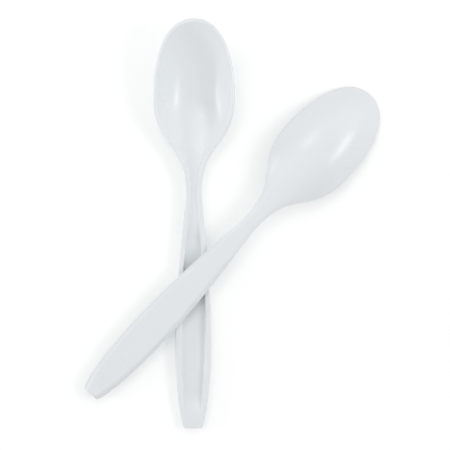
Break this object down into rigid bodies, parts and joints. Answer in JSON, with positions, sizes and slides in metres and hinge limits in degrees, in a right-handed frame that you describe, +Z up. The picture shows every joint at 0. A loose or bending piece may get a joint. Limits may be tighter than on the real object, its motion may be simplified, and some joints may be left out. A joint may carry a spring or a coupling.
{
  "type": "pair of plastic spoons",
  "caption": "Moulded disposable plastic spoons with oval bowls and channelled handles, one lying face up and one face down across its handle.",
  "frame": {"origin": "under the middle of the pair's box, on the surface that it lies on", "axes": "+Y along the lower spoon from the end of its handle to the tip of its bowl, +X towards the upper spoon's bowl, +Z up"},
  "size_m": [0.108, 0.15, 0.015],
  "materials": {
    "white_plastic": "smooth moulded, satin gloss"
  },
  "bodies": {
    "root": {"lower_spoon": "white_plastic", "upper_spoon": "white_plastic"}
  },
  "joints": []
}
